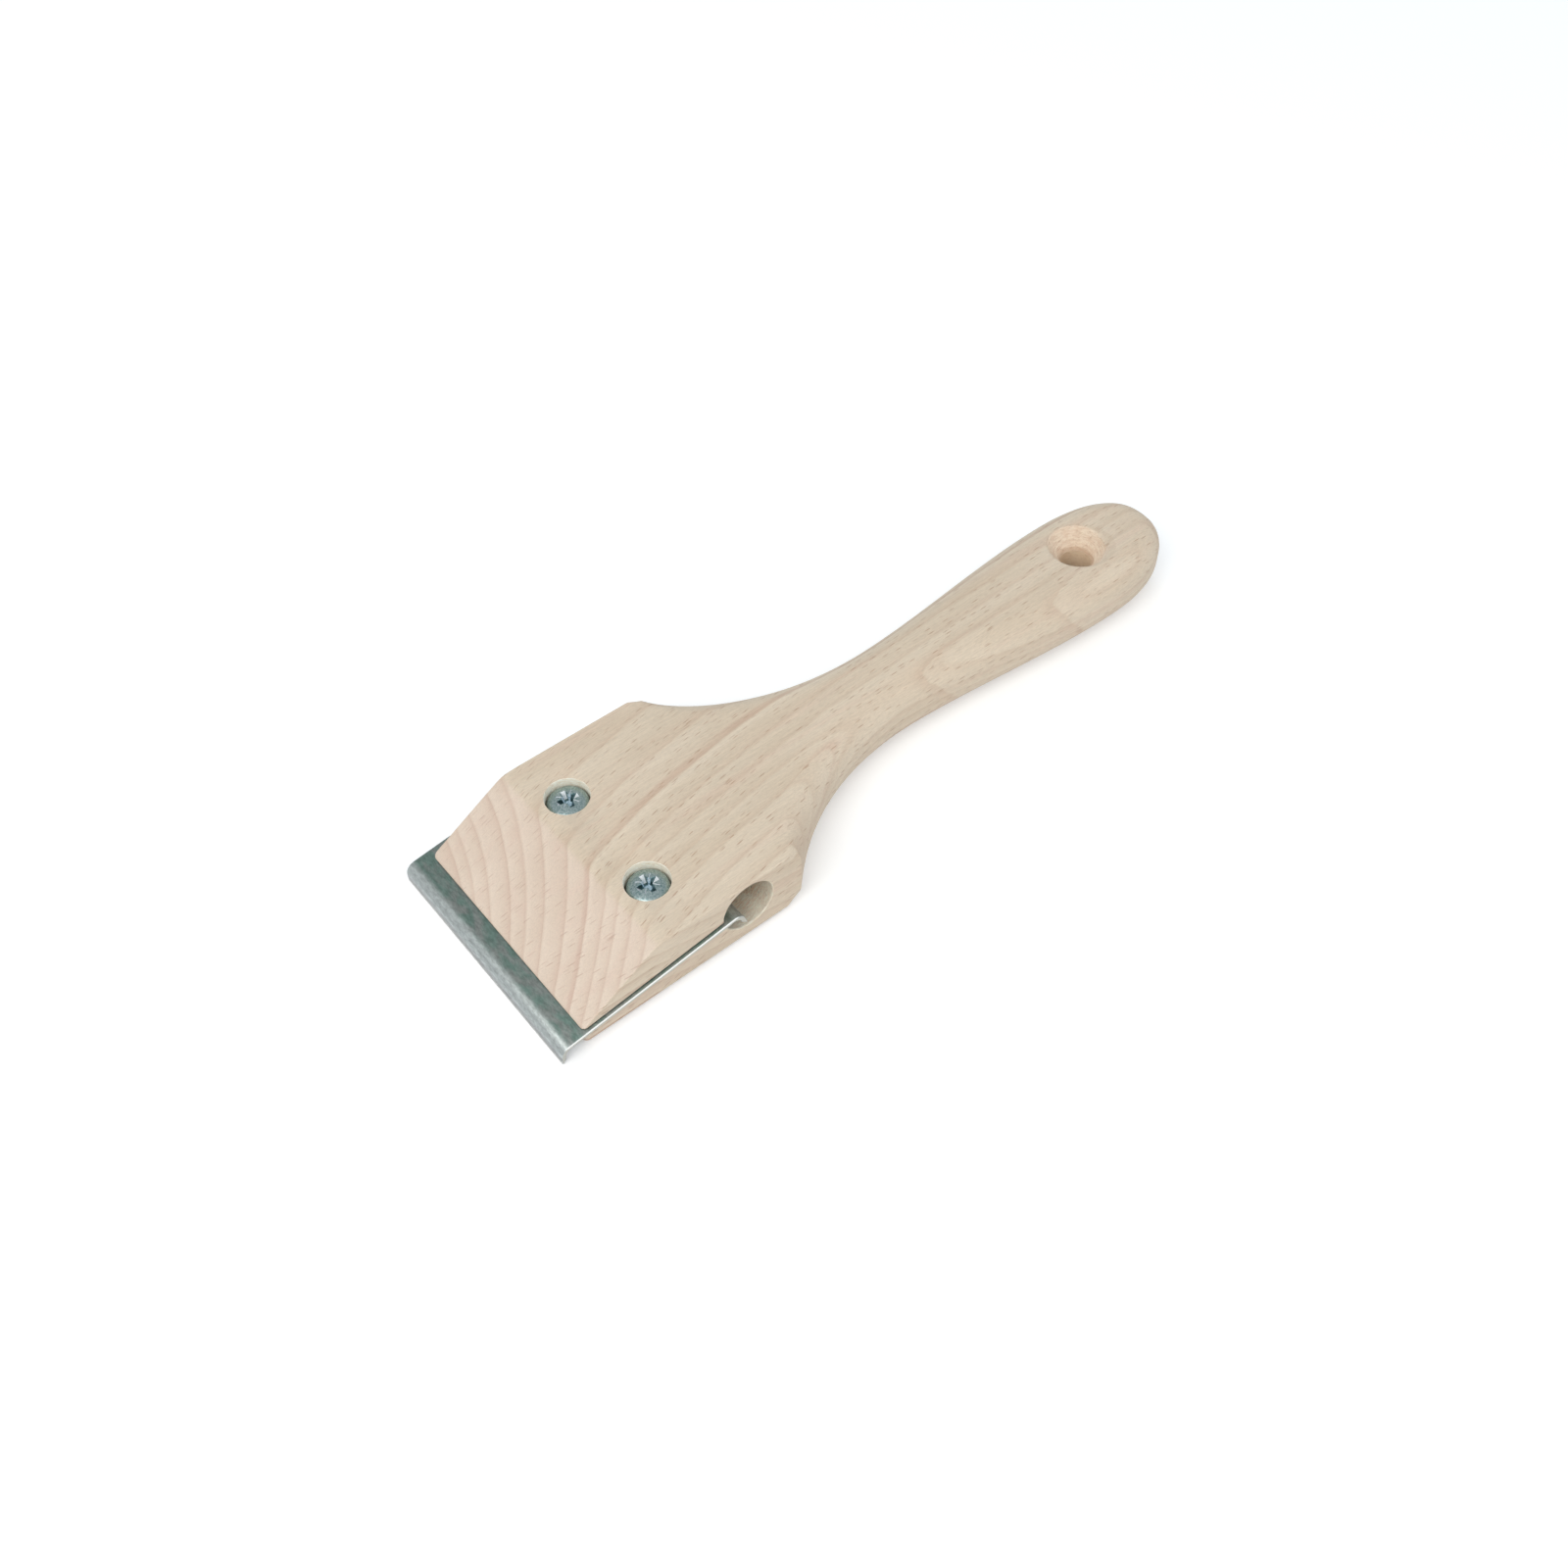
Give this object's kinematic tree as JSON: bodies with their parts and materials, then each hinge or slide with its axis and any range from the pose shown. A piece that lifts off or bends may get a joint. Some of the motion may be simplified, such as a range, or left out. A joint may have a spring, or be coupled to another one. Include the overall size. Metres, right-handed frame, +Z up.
{
  "type": "wood scraper",
  "caption": "Hand scraper: flat waisted beech handle whose sawn, bevelled head pinches a hooked steel blade under sunk screws, with a countersunk hanging hole.",
  "frame": {"origin": "middle of the overall length, on the handle's centre plane, at the height of the blade's cutting edge, which is the lowest point", "axes": "+X to the handle's end, with the blade at -X; +Z up, out of the face with the screws; +Y across the head"},
  "size_m": [0.1982, 0.06, 0.018],
  "materials": {
    "beech": "bare sanded beech, rough torn grain in the bored holes",
    "blade_steel": "cold-rolled spring steel, grey, brighter at the bends and the ground edges",
    "zinc": "bright blue zinc plating"
  },
  "bodies": {
    "handle": {"handle": "beech", "blade": "blade_steel", "nuts": "zinc"},
    "clamp_screw_left": {"clamp_screw_left": "zinc"},
    "clamp_screw_right": {"clamp_screw_right": "zinc"}
  },
  "joints": [
    {"name": "screw_left_out", "type": "slide", "parent": "handle", "child": "clamp_screw_left", "axis": [0, 0, 1], "range_m": [0, 0.018]},
    {"name": "screw_right_out", "type": "slide", "parent": "handle", "child": "clamp_screw_right", "axis": [0, 0, 1], "range_m": [0, 0.018]}
  ]
}
